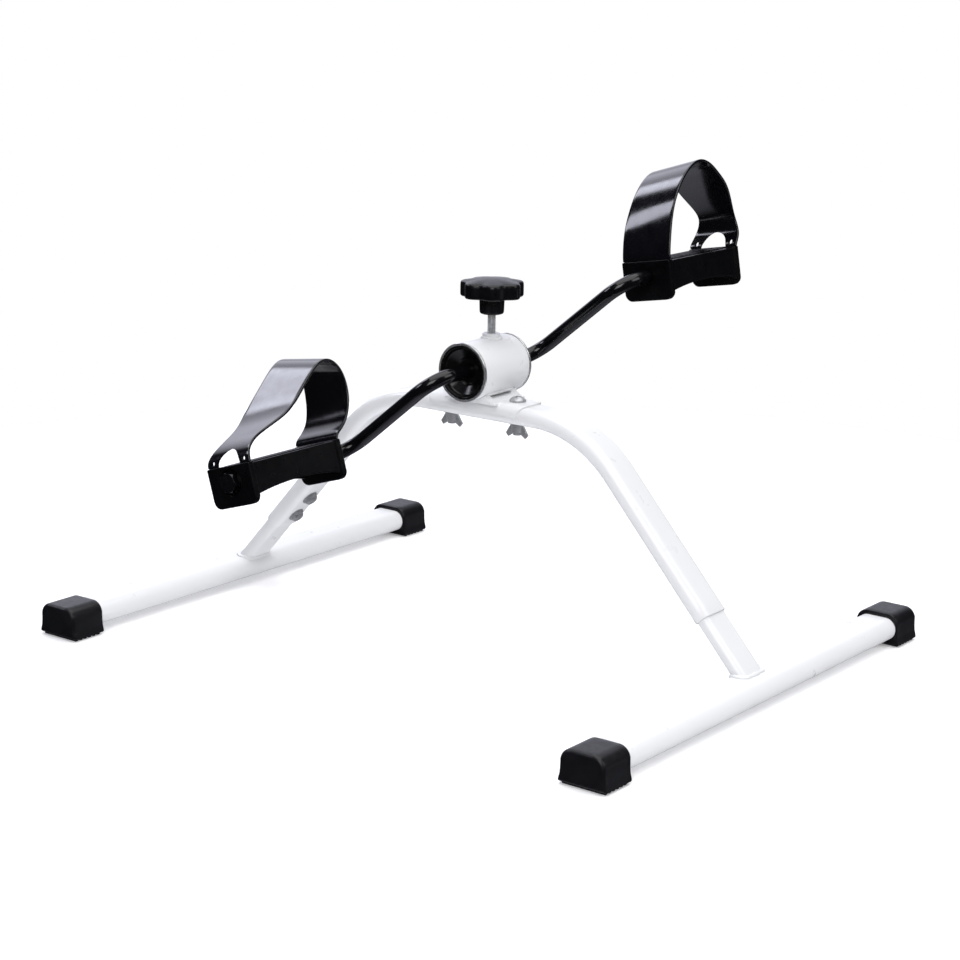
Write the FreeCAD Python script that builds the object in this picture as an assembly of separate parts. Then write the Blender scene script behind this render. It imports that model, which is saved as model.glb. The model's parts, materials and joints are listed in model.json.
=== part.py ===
"""Pedal exerciser: an arched tube frame on two floor bars, a friction-braked crank and two pedals.

Millimetres.  +X is forwards, across the floor bars; +Y is to the left, along the crank shaft;
+Z is up.  The origin is on the floor, under the middle of the frame.
"""
import FreeCAD, Part
import math
import os

from FreeCAD import Rotation, Vector

# ---------------------------------------------------------------- driving dimensions
# Floor bars (flat-oval tube) and their rubber caps
BAR_SPACING = 457.0            # between the two bar centrelines
BAR_OVERALL = 400.0            # along Y, over the caps
BAR_WIDTH, BAR_HEIGHT, BAR_WALL = 30.4, 16.4, 1.5
BAR_LIFT = 4.6                 # floor to underside of the bar
CAP_LENGTH, CAP_WIDTH, CAP_TOP = 29.3, 36.2, 24.0
CAP_END_WALL = 4.0
CAP_SHOULDER = 8.5             # radius of the cap's two upper edges
CAP_EDGE = 2.2                 # rounding round the cap's end face
CAP_FLARE = 1.5                # how far each side leans out towards the floor
TREAD_INSET, TREAD_DEPTH = 2.2, 1.6

# Arch (flat-oval tube) and the stubs that it is sleeved over
ARCH_WIDTH, ARCH_THICK, ARCH_WALL = 29.0, 12.8, 1.2
ARCH_TOP = 176.3               # upper face of the arch
ARCH_BEND = 90.0               # bend radius, to the centreline
LEG_LEAN = 41.9                # legs' angle from the vertical, degrees
LEG_FOOT_X = 224.3             # leg centreline at the height LEG_FOOT_Z
LEG_FOOT_Z = 19.0
SLEEVE_END_Z = 54.0            # height where the arch ends on the stub
STUB_GAP = 0.2                 # clearance round the stub, inside the arch
STUB_INSERT_Z = 96.0           # height of the stub's upper end, inside the arch
LEG_SCREW_Z = (64.5, 80.0)     # heights of the two screws in each leg

# Crank housing and its bracket
HOUSING_RADIUS, HOUSING_WALL, HOUSING_LENGTH = 20.5, 1.4, 53.4
RING_RADIUS, RING_WIDTH = 20.9, 2.0
PLATE_THICK = 1.6
PLATE_HALF_LENGTH = 42.0
PEDESTAL_HALF_WIDTH = 18.0     # along Y
PEDESTAL_FLARE = 22.0          # half-length of the pedestal where it meets the plate
BOLT_X = 29.0                  # bracket bolts, either side of the housing
CUP_DEPTH = 14.0
BOWL_MOUTH, BOWL_FLOOR, BOWL_DEPTH = 17.3, 8.2, 8.5

# Crank
ROD_RADIUS = 5.0
ROD_BEND = 19.0                # bend radius, to the centreline
CRANK_X, CRANK_Z = 76.2, 62.1  # left pedal axle, ahead of and above the shaft axis
ARM_Y = 58.0                   # plane of each crank arm
RUNNING_GAP = 0.06             # radial clearance of a shaft in its bearing
SLEEVE_RADIUS = 11.0           # friction sleeve
AXLE_STEP = 70.0               # along the pedal, where the axle steps down
AXLE_TIP_RADIUS = 4.0

# Brake and tension knob
KNOB_Y = 6.5                   # the screw stands off the housing's middle
SCREW_RADIUS = 3.0
SHOE_LENGTH, SHOE_WIDTH = 11.0, 14.0
PAD_GAP, PAD_THICK, SHOE_TOP = 1.0, 1.5, 15.4
SOCKET_DEPTH, TIP_GAP = 1.2, 0.3
BOSS_RADIUS, BOSS_TOP = 6.3, 23.6
HUB_RADIUS, HUB_BOTTOM = 8.6, 37.3
KNOB_BOTTOM, KNOB_TOP, KNOB_CROWN = 49.4, 60.3, 62.6
KNOB_RADIUS, KNOB_LOBES = 22.7, 7

# Pedals: u forwards, v outwards along the axle, w up, from the axle at the inner face
PEDAL_START = 86.3             # inner face, from the middle of the crank
PEDAL_LENGTH, PEDAL_WIDTH = 93.0, 40.0
END_PLATE, PLATE_BASE, PLATE_TOP = 4.8, -17.0, 11.2
DECK_TOP = 10.2
RAIL_OUT, RAIL_IN = 18.5, 15.7
AXLE_TUBE_RADIUS = 8.4
PEDAL_PITCH = {"right": 17.4, "left": 9.7}   # forward edge up, degrees
SIDES = {"right": -1, "left": 1}
NUT_SEAT = 89.4                # floor of the lock nut's recess, along v
NUT_HEIGHT, WASHER_THICK, AXIAL_GAP = 5.6, 1.2, 0.35

# Straps
STRAP_THICK, STRAP_WIDTH = 1.9, 40.0
STRAP_HOLE, STRAP_HOLE_W = 11.0, 10.6        # round hole at the outer end, centred at this height
PRONG_OUT = 18.0               # half-width of the strap's ends, in the plates' slots
SLOT_FLOOR, TONGUE_FLOOR = 0.0, 7.7          # slots at the sides, and across the inner plate
STRAP_FOOT, NECK_HALF = 12.8, 15.4           # the outer end narrows above this height, to a neck
STRAP_NECK = {"right": (27.5, 40.3), "left": (33.8, 58.5)}   # heights of neck and of full width
STRAP_TWIST = {"right": 3.3, "left": -2.7}   # drop of the forward edge at the top of the loop
TWIST_FROM, TWIST_TO = 24.0, 50.0            # heights between which the twist grows
PIN_U, PIN_W, PIN_RADIUS = 14.5, 4.0, 1.6
EYE_U, EYE_W, EYE_RADIUS = 14.6, 14.3, 1.6   # small hole either side of the round one
STRAP_LINES = {                # strap centreline (v, w), upwards from the inner slot and over
    "right": [(0.3, 14.8), (-5.5, 18.4), (-12, 24), (-16.6, 32.5), (-19.2, 43), (-19.2, 54), (-15.8, 63),
              (-8.3, 69), (1.2, 69), (11, 64), (23, 55.2), (33.6, 47.3), (42.8, 41), (54, 34.8),
              (66.6, 29.6), (75.8, 26), (84.3, 21.3), (89.3, 16.4)],
    "left": [(3.2, 17.1), (5.7, 26), (10.1, 37.3), (17.3, 49.3), (27.7, 60.8), (40.8, 70), (54.2, 73.8),
             (66.9, 70.5), (79, 60.8), (89.3, 50.3), (97, 39.4), (100.2, 29.5), (98.6, 21.4),
             (94.4, 16.2)],
}

SHAFT_Z = ARCH_TOP + PLATE_THICK + HOUSING_RADIUS
ARCH_AXIS_Z = ARCH_TOP - ARCH_THICK / 2
LEAN = math.radians(LEG_LEAN)
UP = Vector(0, 0, 1)
LEFT = Vector(0, 1, 0)
FORWARD = Vector(1, 0, 0)


# ---------------------------------------------------------------- general helpers
def save(shape, name):
    """Write one node's solid, or its group of separate solids."""
    if not shape.isValid():
        raise ValueError(name + " is not a valid shape")
    shape.exportStep("parts/" + name + ".step")
    print("%-22s %9.1f mm3, %d solid(s)" % (name, shape.Volume, len(shape.Solids)))


def cylinder(radius, start, direction, length):
    return Part.makeCylinder(radius, length, start, direction)


def ring(outer, inner, start, direction, length):
    return cylinder(outer, start, direction, length).cut(cylinder(inner, start, direction, length))


def box(low, high):
    size = high - low
    return Part.makeBox(size.x, size.y, size.z, low)


def polygon(points):
    return Part.Face(Part.makePolygon(list(points) + [points[0]]))


def hexagon(across_flats, centre, direction, height):
    """Hexagonal prism standing on centre along direction."""
    corner = across_flats / math.sqrt(3)
    points = [Vector(corner * math.cos(k * math.pi / 3), corner * math.sin(k * math.pi / 3), 0)
              for k in range(6)]
    prism = polygon(points).extrude(Vector(0, 0, height))
    return prism.transformed(FreeCAD.Placement(centre, Rotation(UP, direction)).toMatrix())


def oval_wire(width, thick, centre, across, through):
    """Flat-oval outline: width along `across`, thickness along `through`, round sides."""
    radius = thick / 2
    reach = width / 2 - radius

    def at(a, t):
        return centre + across * a + through * t

    return Part.Wire([
        Part.LineSegment(at(-reach, radius), at(reach, radius)).toShape(),
        Part.Arc(at(reach, radius), at(reach + radius, 0), at(reach, -radius)).toShape(),
        Part.LineSegment(at(reach, -radius), at(-reach, -radius)).toShape(),
        Part.Arc(at(-reach, -radius), at(-reach - radius, 0), at(-reach, radius)).toShape(),
    ])


def rounded_path(points, radius):
    """Wire through straight runs joined by tangent arcs of one radius."""
    edges = []
    start = points[0]
    for before, corner, after in zip(points, points[1:], points[2:]):
        into = (corner - before).normalize()
        out = (after - corner).normalize()
        turn = into.getAngle(out)
        cut = radius * math.tan(turn / 2)
        arc_start, arc_end = corner - into * cut, corner + out * cut
        bisector = (out - into).normalize()
        centre = corner + bisector * (radius / math.cos(turn / 2))
        middle = centre - bisector * radius
        edges.append(Part.LineSegment(start, arc_start).toShape())
        edges.append(Part.Arc(arc_start, middle, arc_end).toShape())
        start = arc_end
    edges.append(Part.LineSegment(start, points[-1]).toShape())
    return Part.Wire(edges)


def sweep(path, profile):
    return path.makePipeShell([profile], True, False)


def along_shaft(radius):
    """Long cylinder on the shaft axis, for cutting what surrounds it."""
    return cylinder(radius, Vector(0, -HOUSING_LENGTH, SHAFT_Z), LEFT, 2 * HOUSING_LENGTH)


def group(*shapes):
    return Part.makeCompound([solid for shape in shapes for solid in shape.Solids])


# ---------------------------------------------------------------- base
def bar_solid(grow, length, x):
    """Flat-oval bar along Y, `grow` larger all round than the bar itself."""
    centre = Vector(x, -length / 2, BAR_LIFT + BAR_HEIGHT / 2)
    outline = oval_wire(BAR_WIDTH + 2 * grow, BAR_HEIGHT + 2 * grow, centre, FORWARD, UP)
    return Part.Face(outline).extrude(LEFT * length)


def floor_bar(x):
    length = BAR_OVERALL - 2 * CAP_END_WALL
    return bar_solid(0, length, x).cut(bar_solid(-BAR_WALL, length, x))


def cap(x, side):
    """Rubber boot: round-shouldered block with a sole, drawn over the end of a bar."""
    half, top, shoulder = CAP_WIDTH / 2, CAP_TOP, CAP_SHOULDER
    corner = shoulder * (1 - math.sqrt(0.5))
    wide = half - CAP_FLARE
    outline = Part.Wire([
        Part.LineSegment(Vector(-half, 0, TREAD_DEPTH), Vector(half, 0, TREAD_DEPTH)).toShape(),
        Part.LineSegment(Vector(half, 0, TREAD_DEPTH), Vector(wide, 0, top - shoulder)).toShape(),
        Part.Arc(Vector(wide, 0, top - shoulder), Vector(wide - corner, 0, top - corner),
                 Vector(wide - shoulder, 0, top)).toShape(),
        Part.LineSegment(Vector(wide - shoulder, 0, top), Vector(shoulder - wide, 0, top)).toShape(),
        Part.Arc(Vector(shoulder - wide, 0, top), Vector(corner - wide, 0, top - corner),
                 Vector(-wide, 0, top - shoulder)).toShape(),
        Part.LineSegment(Vector(-wide, 0, top - shoulder), Vector(-half, 0, TREAD_DEPTH)).toShape(),
    ])
    boot = Part.Face(outline).extrude(LEFT * CAP_LENGTH)
    end_edges = [edge for edge in boot.Edges
                 if all(abs(vertex.Y - CAP_LENGTH) < 1e-6 for vertex in edge.Vertexes)
                 and edge.CenterOfMass.z > TREAD_DEPTH + 1e-6]
    boot = boot.makeFillet(CAP_EDGE, end_edges)
    tread = box(Vector(-half + TREAD_INSET, TREAD_INSET, 0),
                Vector(half - TREAD_INSET, CAP_LENGTH - TREAD_INSET, TREAD_DEPTH))
    boot = boot.fuse(tread)
    boot.translate(Vector(0, BAR_OVERALL / 2 - CAP_LENGTH, 0))
    if side < 0:
        boot = boot.rotated(Vector(0, 0, 0), UP, 180)
    boot.translate(Vector(x, 0, 0))
    return boot.cut(bar_solid(0, BAR_OVERALL - 2 * CAP_END_WALL, x))


def leg_point(z, end=1):
    """Point on a leg's centreline at height z."""
    return Vector(end * (LEG_FOOT_X - (z - LEG_FOOT_Z) * math.tan(LEAN)), 0, z)


def leg_outward(end):
    """Unit vector outwards through a leg's thickness."""
    return Vector(end * math.cos(LEAN), 0, math.sin(LEAN))


def leg_stub(end):
    """Stub tube from the floor bar up into the arch, coped to the bar."""
    through = leg_outward(end)
    inset = ARCH_WALL + STUB_GAP
    start, stop = leg_point(BAR_LIFT + BAR_HEIGHT / 2, end), leg_point(STUB_INSERT_Z, end)
    run = stop - start

    def solid(grow):
        outline = oval_wire(ARCH_WIDTH - 2 * inset + grow, ARCH_THICK - 2 * inset + grow,
                            start, LEFT, through)
        return Part.Face(outline).extrude(run)

    tube = solid(0).cut(solid(-2 * ARCH_WALL))
    for z in LEG_SCREW_Z:
        tube = tube.cut(cylinder(SCREW_RADIUS + 0.2, leg_point(z, end), through * -1, ARCH_THICK))
    return tube.cut(bar_solid(0, BAR_OVERALL, end * BAR_SPACING / 2))


def arch_path():
    legs = [leg_point(SLEEVE_END_Z, end) for end in (-1, 1)]
    corners = [leg_point(ARCH_AXIS_Z, end) for end in (-1, 1)]
    return rounded_path([legs[0], corners[0], corners[1], legs[1]], ARCH_BEND)


def arch_solid(shrink):
    through = leg_outward(-1)
    outline = oval_wire(ARCH_WIDTH - 2 * shrink, ARCH_THICK - 2 * shrink,
                        leg_point(SLEEVE_END_Z, -1), LEFT, through)
    return sweep(arch_path(), outline)


def arch_tube():
    tube = arch_solid(0).cut(arch_solid(ARCH_WALL))
    for x in (-BOLT_X, BOLT_X):
        under = Vector(x, 0, ARCH_TOP - ARCH_THICK - 1)
        tube = tube.cut(cylinder(SCREW_RADIUS, under, UP, ARCH_THICK + 2))
    for end in (-1, 1):
        through = leg_outward(end)
        for z in LEG_SCREW_Z:
            tube = tube.cut(cylinder(SCREW_RADIUS, leg_point(z, end), through * -1, ARCH_THICK))
    return tube


def leg_fasteners():
    """Screws in from the legs' inner faces, and the nuts welded inside the stubs."""
    screws, nuts = [], []
    for end in (-1, 1):
        inward = leg_outward(end) * -1
        face = ARCH_THICK / 2
        stub_inside = face - 2 * ARCH_WALL - STUB_GAP
        for z in LEG_SCREW_Z:
            axis = leg_point(z, end)
            nut = hexagon(10.0, axis - inward * 0.2, inward, stub_inside + 0.2)
            nuts.append(nut.cut(cylinder(SCREW_RADIUS, axis - inward, inward, face)))
            flange = cylinder(6.2, axis + inward * face, inward, 1.0)
            head = hexagon(9.6, axis + inward * (face + 1.0), inward, 3.2)
            head = head.common(Part.makeSphere(5.9, axis + inward * (face - 0.4)))
            shank = cylinder(SCREW_RADIUS, axis - inward * 0.2, inward, face + 0.2)
            screws.append(flange.fuse([head, shank]))
    return group(*screws), group(*nuts)


# ---------------------------------------------------------------- housing and bracket
def arch_saddle(grow, half_length):
    """The arch's flat top section, `grow` larger all round, over the bracket's length."""
    centre = Vector(-half_length, 0, ARCH_AXIS_Z)
    outline = oval_wire(ARCH_WIDTH + 2 * grow, ARCH_THICK + 2 * grow, centre, LEFT, UP)
    return Part.Face(outline).extrude(FORWARD * (2 * half_length))


def saddle_bracket():
    """Plate formed over the arch, with a flared pedestal welded under the housing."""
    plate = arch_saddle(PLATE_THICK, PLATE_HALF_LENGTH).cut(arch_saddle(0, PLATE_HALF_LENGTH + 1))
    plate = plate.cut(box(Vector(-PLATE_HALF_LENGTH - 1, -ARCH_WIDTH, 0),
                          Vector(PLATE_HALF_LENGTH + 1, ARCH_WIDTH, ARCH_AXIS_Z)))
    for end in (-1, 1):
        for side in (-1, 1):
            corner = Vector(end * PLATE_HALF_LENGTH, side * (ARCH_WIDTH / 2 + PLATE_THICK), 0)
            radius = 9.0
            block = box(Vector(min(0, -end * radius), min(0, -side * radius), 0),
                        Vector(max(0, -end * radius), max(0, -side * radius), SHAFT_Z))
            block.translate(corner)
            rounding = cylinder(radius, corner - Vector(end * radius, side * radius, 0), UP, SHAFT_Z)
            plate = plate.cut(block.cut(rounding))
    deck = ARCH_TOP + PLATE_THICK
    neck, neck_z = 12.5, SHAFT_Z - 13.0
    half = PEDESTAL_FLARE

    def flare(x_sign):
        return Part.Arc(Vector(x_sign * neck, 0, neck_z), Vector(x_sign * (neck + 2.2), 0, deck + 3.2),
                        Vector(x_sign * half, 0, deck)).toShape()

    outline = Part.Wire([
        flare(1),
        Part.LineSegment(Vector(half, 0, deck), Vector(half, 0, ARCH_TOP)).toShape(),
        Part.LineSegment(Vector(half, 0, ARCH_TOP), Vector(-half, 0, ARCH_TOP)).toShape(),
        Part.LineSegment(Vector(-half, 0, ARCH_TOP), Vector(-half, 0, deck)).toShape(),
        flare(-1),
        Part.LineSegment(Vector(-neck, 0, neck_z), Vector(neck, 0, neck_z)).toShape(),
    ])
    pedestal = Part.Face(outline).extrude(LEFT * (2 * PEDESTAL_HALF_WIDTH))
    pedestal.translate(LEFT * -PEDESTAL_HALF_WIDTH)
    pedestal = pedestal.cut(along_shaft(HOUSING_RADIUS))
    for end in (-1, 1):
        slot = oval_wire(24.0, 4.4, Vector(end * 8.5, 0, deck + 4.2), LEFT, UP)
        pedestal = pedestal.cut(Part.Face(slot).extrude(FORWARD * (end * 20)))
    pedestal = pedestal.cut(arch_saddle(0, PLATE_HALF_LENGTH))
    bracket = plate.fuse(pedestal)
    for x in (-BOLT_X, BOLT_X):
        bracket = bracket.cut(cylinder(SCREW_RADIUS, Vector(x, 0, ARCH_TOP - 1), UP, 5))
    return bracket.removeSplitter()


def bracket_fasteners():
    """Pan-head bolts down through the bracket and arch, with washers and wing nuts below."""
    bolts, washers, nuts = [], [], []
    deck, under = ARCH_TOP + PLATE_THICK, ARCH_TOP - ARCH_THICK
    washer_thick, hub_height = 1.2, 6.0
    for x in (-BOLT_X, BOLT_X):
        head = cylinder(5.8, Vector(x, 0, deck), UP, 1.4)
        dome = Part.makeSphere(7.4, Vector(x, 0, deck - 3.4)).common(
            cylinder(5.8, Vector(x, 0, deck + 1.4), UP, 6))
        cross = [box(Vector(x - a, -b, deck + 2.2), Vector(x + a, b, deck + 6))
                 for a, b in ((2.8, 0.6), (0.6, 2.8))]
        shank = cylinder(SCREW_RADIUS, Vector(x, 0, under - 9.5), UP, deck - under + 9.5)
        bolts.append(head.fuse([dome, shank]).cut(cross[0].fuse(cross[1])))
        washers.append(ring(6.2, SCREW_RADIUS, Vector(x, 0, under - washer_thick), UP, washer_thick))
        top = under - washer_thick
        hub = Part.makeCone(4.0, 4.8, hub_height, Vector(x, 0, top - hub_height), UP)
        wings = []
        for side in (-1, 1):
            outline = [(2.5, 0), (5.0, -0.8), (9.4, -7.6), (7.4, -10.2), (4.6, -8.4), (2.5, -5.6)]
            points = [Vector(x + side * px, -0.9, top + pz) for px, pz in outline]
            wings.append(polygon(points).extrude(LEFT * 1.8))
        nut = hub.fuse(wings)
        nuts.append(nut.cut(cylinder(SCREW_RADIUS, Vector(x, 0, top - 20), UP, 30)))
    return group(*bolts), group(*washers), group(*nuts)


def housing_tube():
    """Plain tube between the trim rings, drilled on top for the tension screw."""
    half = HOUSING_LENGTH / 2 - RING_WIDTH
    start = Vector(0, -half, SHAFT_Z)
    tube = ring(HOUSING_RADIUS, HOUSING_RADIUS - HOUSING_WALL, start, LEFT, 2 * half)
    return tube.cut(cylinder(SCREW_RADIUS + 0.6, Vector(0, KNOB_Y, SHAFT_Z), UP, 2 * HOUSING_RADIUS))


def screw_boss():
    base = cylinder(BOSS_RADIUS, Vector(0, KNOB_Y, SHAFT_Z), UP, BOSS_TOP)
    top = SHAFT_Z + BOSS_TOP
    base = base.makeChamfer(0.6, [e for e in base.Edges if abs(e.CenterOfMass.z - top) < 1e-6])
    base = base.cut(along_shaft(HOUSING_RADIUS))
    return base.cut(cylinder(SCREW_RADIUS + RUNNING_GAP, Vector(0, KNOB_Y, SHAFT_Z), UP, 2 * BOSS_TOP))


def trim_ring(side):
    start = Vector(0, side * (HOUSING_LENGTH / 2 - RING_WIDTH), SHAFT_Z)
    inner = HOUSING_RADIUS - HOUSING_WALL
    shape = ring(RING_RADIUS, inner, start, LEFT * side, RING_WIDTH)
    outer_edges = [e for e in shape.Edges if abs(e.Length - 2 * math.pi * RING_RADIUS) < 1e-3]
    return shape.makeFillet(0.5, outer_edges)


def bearing_cup(side):
    """Moulded bush pressed into the housing: hollow bowl outside, bearing bore inside."""
    outer = HOUSING_RADIUS - HOUSING_WALL
    face = HOUSING_LENGTH / 2
    inner_face = face - CUP_DEPTH
    bore = ROD_RADIUS + RUNNING_GAP
    profile = [(bore, inner_face), (outer, inner_face), (outer, face - 0.6), (outer - 0.6, face),
               (BOWL_MOUTH, face), (BOWL_FLOOR + 1.6, face - BOWL_DEPTH + 1.2),
               (BOWL_FLOOR, face - BOWL_DEPTH), (bore, face - BOWL_DEPTH)]
    points = [Vector(r, side * y, SHAFT_Z) for r, y in profile]
    return polygon(points).revolve(Vector(0, 0, SHAFT_Z), LEFT, 360)


# ---------------------------------------------------------------- crank
def axle_point(side, y):
    return Vector(side * CRANK_X, y, SHAFT_Z + side * CRANK_Z)


def pedal_y(side, v):
    return side * (PEDAL_START + v)


def crank_rod():
    """One rod: shaft, two arms and two axles, stepped down near the axles' ends."""
    def corner(side):
        return Vector(0, side * ARM_Y, SHAFT_Z)

    step = {side: axle_point(side, pedal_y(side, AXLE_STEP)) for side in (-1, 1)}
    path = rounded_path([step[-1], axle_point(-1, -ARM_Y), corner(-1),
                         corner(1), axle_point(1, ARM_Y), step[1]], ROD_BEND)
    section = Part.Wire(Part.makeCircle(ROD_RADIUS, step[-1], LEFT))
    rod = sweep(path, section)
    tip = NUT_SEAT + AXIAL_GAP + WASHER_THICK + NUT_HEIGHT - 0.8 - AXLE_STEP
    return rod.fuse([cylinder(AXLE_TIP_RADIUS, step[side], LEFT * side, tip) for side in (-1, 1)])


def friction_sleeve():
    half = HOUSING_LENGTH / 2 - CUP_DEPTH - 0.4
    return ring(SLEEVE_RADIUS, ROD_RADIUS, Vector(0, -half, SHAFT_Z), LEFT, 2 * half)


def axle_end(side):
    """Washer and lock nut on the end of one axle, in the pedal's recess."""
    out = LEFT * side
    start = axle_point(side, pedal_y(side, NUT_SEAT + AXIAL_GAP))
    washer = ring(7.6, AXLE_TIP_RADIUS, start, out, WASHER_THICK)
    seat = start + out * WASHER_THICK
    nut = hexagon(13.0, seat, out, NUT_HEIGHT)
    nut = nut.common(Part.makeCone(9.6, 6.2, NUT_HEIGHT + 0.8, seat, out))
    return washer, nut.cut(cylinder(AXLE_TIP_RADIUS, seat, out, NUT_HEIGHT - 0.8))


# ---------------------------------------------------------------- brake and knob
def over_sleeve(inner, outer):
    """Block above the friction sleeve, between two radii from the shaft axis."""
    half_x, half_y = SHOE_WIDTH / 2, SHOE_LENGTH / 2
    block = box(Vector(-half_x, KNOB_Y - half_y, SHAFT_Z),
                Vector(half_x, KNOB_Y + half_y, SHAFT_Z + outer))
    return block.cut(along_shaft(inner))


def brake_parts():
    """Lining and the shoe above it, with the socket for the screw's tip."""
    pad_inner = SLEEVE_RADIUS + PAD_GAP
    shoe_inner = pad_inner + PAD_THICK
    floor = Vector(-SHOE_WIDTH, -HOUSING_LENGTH, SHAFT_Z + 5.0)
    above = box(floor, floor + Vector(2 * SHOE_WIDTH, 2 * HOUSING_LENGTH, HOUSING_RADIUS))
    pad = over_sleeve(pad_inner, SHOE_TOP).common(above)
    pad = pad.common(along_shaft(shoe_inner))
    shoe = over_sleeve(shoe_inner, SHOE_TOP).common(above)
    socket_floor = Vector(0, KNOB_Y, SHAFT_Z + SHOE_TOP - SOCKET_DEPTH)
    socket = cylinder(SCREW_RADIUS + RUNNING_GAP, socket_floor, UP, 5)
    return pad, shoe.cut(socket)


def knob_parts():
    """Zinc screw, brass insert and the lobed knob."""
    tip = SHOE_TOP - SOCKET_DEPTH + TIP_GAP
    base = Vector(0, KNOB_Y, SHAFT_Z)
    screw_top = KNOB_BOTTOM + 6.0
    screw = cylinder(SCREW_RADIUS, base + UP * tip, UP, screw_top - tip)
    insert = ring(5.0, SCREW_RADIUS, base + UP * HUB_BOTTOM, UP, KNOB_BOTTOM + 4.0 - HUB_BOTTOM)
    wave, valley = 1.55, KNOB_RADIUS - 1.55
    count = KNOB_LOBES * 12
    points = []
    for k in range(count):
        angle = 2 * math.pi * k / count
        reach = valley + wave * math.cos(KNOB_LOBES * angle)
        points.append(Vector(reach * math.cos(angle), reach * math.sin(angle), 0))
    curve = Part.BSplineCurve()
    curve.interpolate(points, PeriodicFlag=True)
    rim = Part.Face(Part.Wire(curve.toShape()))
    body = rim.extrude(UP * (KNOB_CROWN - KNOB_BOTTOM))
    dome_radius = (KNOB_RADIUS ** 2 + (KNOB_CROWN - KNOB_TOP) ** 2) / (2 * (KNOB_CROWN - KNOB_TOP))
    dome = Part.makeSphere(dome_radius, Vector(0, 0, KNOB_CROWN - KNOB_BOTTOM - dome_radius))
    body = body.common(dome)
    body.translate(base + UP * KNOB_BOTTOM)
    hub_height = KNOB_BOTTOM - HUB_BOTTOM
    hub = Part.makeCone(HUB_RADIUS, HUB_RADIUS + 0.5, hub_height + 1, base + UP * HUB_BOTTOM, UP)
    knob = body.fuse(hub)
    knob = knob.cut(cylinder(5.0, base + UP * (HUB_BOTTOM - 1), UP, KNOB_BOTTOM + 5.0 - HUB_BOTTOM))
    knob = knob.cut(cylinder(SCREW_RADIUS, base + UP * HUB_BOTTOM, UP, screw_top - HUB_BOTTOM))
    return screw, insert, knob.removeSplitter()


# ---------------------------------------------------------------- pedals
def place_pedal(shape, name):
    """Move a shape from the pedal's own (u, v, w) axes to its place on the crank."""
    side = SIDES[name]
    if side < 0:
        shape = shape.mirror(Vector(0, 0, 0), LEFT)
    shape = shape.rotated(Vector(0, 0, 0), LEFT, -PEDAL_PITCH[name])
    shape.translate(axle_point(side, side * PEDAL_START))
    return shape


def slots():
    """Middle of each end plate's slot along v, and which way is outwards there."""
    return (END_PLATE / 2, -1), (PEDAL_LENGTH - END_PLATE / 2, 1)


def end_plate(v):
    half, radius = PEDAL_WIDTH / 2, 6.0
    plate = box(Vector(-half, v, PLATE_BASE), Vector(half, v + END_PLATE, PLATE_TOP))
    corners = [e for e in plate.Edges if abs(e.Length - END_PLATE) < 1e-6]
    plate = plate.makeFillet(radius, [e for e in corners if e.CenterOfMass.z < 0])
    corners = [e for e in plate.Edges if abs(e.Length - END_PLATE) < 1e-6 and e.CenterOfMass.z > 10]
    return plate.makeFillet(1.0, corners)


def rail(u):
    """Side rail with an arched lower edge."""
    inner, outer = END_PLATE, PEDAL_LENGTH - END_PLATE
    spring, crown = PLATE_BASE + 5.5, PLATE_BASE + 9.0
    outline = Part.Wire([
        Part.Arc(Vector(u, inner, spring), Vector(u, PEDAL_LENGTH / 2, crown),
                 Vector(u, outer, spring)).toShape(),
        Part.LineSegment(Vector(u, outer, spring), Vector(u, outer, DECK_TOP)).toShape(),
        Part.LineSegment(Vector(u, outer, DECK_TOP), Vector(u, inner, DECK_TOP)).toShape(),
        Part.LineSegment(Vector(u, inner, DECK_TOP), Vector(u, inner, spring)).toShape(),
    ])
    return Part.Face(outline).extrude(FORWARD * (RAIL_OUT - RAIL_IN))


def pedal_body():
    """Ribbed deck, two arched rails, axle tube and two end plates, hollow underneath."""
    inner, outer = END_PLATE, PEDAL_LENGTH - END_PLATE
    middle = PEDAL_LENGTH / 2
    deck = box(Vector(-RAIL_OUT, inner, DECK_TOP - 3.0), Vector(RAIL_OUT, outer, DECK_TOP))
    pieces = [end_plate(0), end_plate(outer), rail(-RAIL_OUT), rail(RAIL_IN)]
    pieces.append(cylinder(AXLE_TUBE_RADIUS, Vector(0, inner, 0), LEFT, outer - inner))
    for v in (inner + 22, middle, outer - 22):
        pieces.append(box(Vector(-RAIL_IN, v - 1, -3), Vector(RAIL_IN, v + 1, DECK_TOP - 1)))
    for k in range(-2, 3):
        u = 6.2 * k
        pieces.append(box(Vector(u - 1.1, inner + 5, DECK_TOP - 1),
                          Vector(u + 1.1, outer - 5, DECK_TOP + 0.9)))
    body = deck.fuse(pieces)
    body = body.cut(cylinder(ROD_RADIUS + RUNNING_GAP, Vector(0, -1, 0), LEFT, AXLE_STEP + AXIAL_GAP + 1))
    body = body.cut(cylinder(AXLE_TIP_RADIUS + RUNNING_GAP, Vector(0, 0, 0), LEFT, PEDAL_LENGTH))
    body = body.cut(cylinder(9.4, Vector(0, NUT_SEAT, 0), LEFT, 10))
    clearance = 0.05
    reach = STRAP_THICK / 2 + clearance
    for v, out in slots():
        for low, high in ((-PRONG_OUT, 1 - STRAP_HOLE), (STRAP_HOLE - 1, PRONG_OUT)):
            body = body.cut(box(Vector(low - clearance, v - reach, SLOT_FLOOR),
                                Vector(high + clearance, v + reach, PLATE_TOP + 1)))
        for u in (-PIN_U, PIN_U):
            body = body.cut(cylinder(PIN_RADIUS, Vector(u, v - 2.0 * out, PIN_W), LEFT * out, 10))
    inner_v = slots()[0][0]
    body = body.cut(box(Vector(-PRONG_OUT, inner_v - reach, TONGUE_FLOOR),
                        Vector(PRONG_OUT, inner_v + reach, PLATE_TOP + 1)))
    return body.removeSplitter()


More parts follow.
